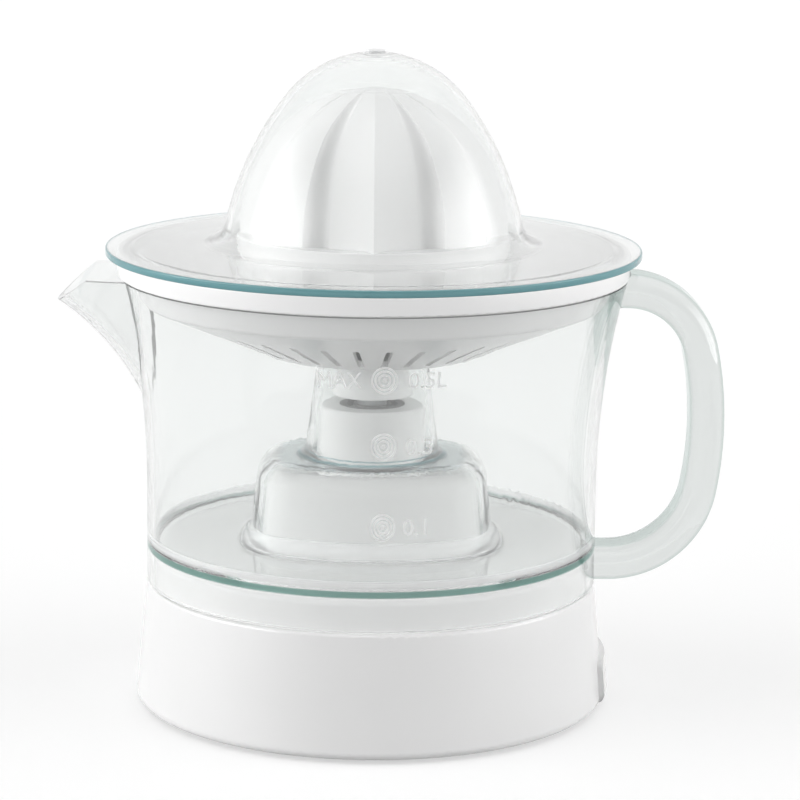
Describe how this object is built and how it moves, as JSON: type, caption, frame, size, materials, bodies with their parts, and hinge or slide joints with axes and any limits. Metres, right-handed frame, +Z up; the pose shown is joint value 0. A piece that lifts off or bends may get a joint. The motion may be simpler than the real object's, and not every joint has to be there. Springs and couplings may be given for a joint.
{
  "type": "electric citrus juicer",
  "caption": "Electric citrus press with a motor base, clear pouring jug with handle, slotted strainer, fluted reamer and clear dome lid; pressing starts the geared drive.",
  "frame": {"origin": "on the drive axis, at the plane of the feet's undersides", "axes": "+Z up along the drive axis, +X towards the jug's handle, -X towards the spout, -Y towards the front"},
  "size_m": [0.1823, 0.1456, 0.18],
  "materials": {
    "white_gloss": "glossy moulded",
    "clear_plastic": "clear, polished",
    "white_matte": "fine matte",
    "rubber": "matte",
    "zinc_steel": "zinc plated",
    "bush_bronze": "sintered",
    "gear_plastic": "natural acetal",
    "core_steel": "laminated",
    "copper": "enamelled wire",
    "black_plastic": "matte",
    "red_plastic": "matte"
  },
  "bodies": {
    "base": {"base_housing": "white_gloss", "bottom_cover": "white_matte", "rubber_feet": "rubber", "cover_screws": "zinc_steel", "gear_plate": "zinc_steel", "plate_screws": "zinc_steel", "shaft_bushes": "bush_bronze", "shaft_seal": "rubber", "rotor_bushes": "bush_bronze", "rotor_bridge": "zinc_steel", "stator_core": "core_steel", "coil_bobbins": "white_matte", "coil_windings": "copper", "stator_screws": "zinc_steel", "stator_spacers": "zinc_steel", "idler_pin": "zinc_steel", "switch_body": "black_plastic", "switch_tags": "bush_bronze", "return_spring": "zinc_steel"},
    "press": {"press_plunger": "white_matte", "switch_button": "red_plastic"},
    "drive": {"drive_shaft": "zinc_steel", "output_gear": "gear_plastic", "shaft_clip": "zinc_steel", "splash_collar": "white_gloss"},
    "idler": {"idler_gear": "gear_plastic"},
    "rotor": {"rotor_shaft": "zinc_steel", "rotor_pinion": "gear_plastic", "rotor_magnet": "core_steel"},
    "jug": {"jug": "clear_plastic", "jug_handle": "clear_plastic"},
    "strainer": {"strainer": "white_gloss"},
    "reamer": {"reamer": "white_gloss"},
    "lid": {"lid": "clear_plastic"}
  },
  "joints": [
    {"name": "press_down", "type": "slide", "parent": "base", "child": "press", "axis": [0, 0, -1], "range_m": [0, 0.0022], "stiffness_N_per_m": 2500, "deforming": ["return_spring"]},
    {"name": "drive_spin", "type": "hinge", "parent": "press", "child": "drive", "pos_m": [0, 0, 0.05], "axis": [0, 0, 1], "continuous": true},
    {"name": "idler_spin", "type": "hinge", "parent": "base", "child": "idler", "pos_m": [-0.03275, 0.00753, 0.02], "axis": [0, 0, 1], "continuous": true},
    {"name": "rotor_spin", "type": "hinge", "parent": "base", "child": "rotor", "pos_m": [-0.0125, 0, 0.045], "axis": [0, 0, 1], "continuous": true},
    {"name": "jug_lift", "type": "slide", "parent": "base", "child": "jug", "axis": [0, 0, 1], "range_m": [0, 0.1]},
    {"name": "strainer_lift", "type": "slide", "parent": "jug", "child": "strainer", "axis": [0, 0, 1], "range_m": [0, 0.04]},
    {"name": "reamer_spin", "type": "hinge", "parent": "strainer", "child": "reamer", "pos_m": [0, 0, 0.13], "axis": [0, 0, 1], "continuous": true},
    {"name": "lid_lift", "type": "slide", "parent": "strainer", "child": "lid", "axis": [0, 0, 1], "range_m": [0, 0.06]}
  ],
  "couplings": [
    {"joint": "drive_spin", "follows": "reamer_spin", "ratio": 1},
    {"joint": "idler_spin", "follows": "reamer_spin", "ratio": -6},
    {"joint": "rotor_spin", "follows": "reamer_spin", "ratio": 30}
  ]
}
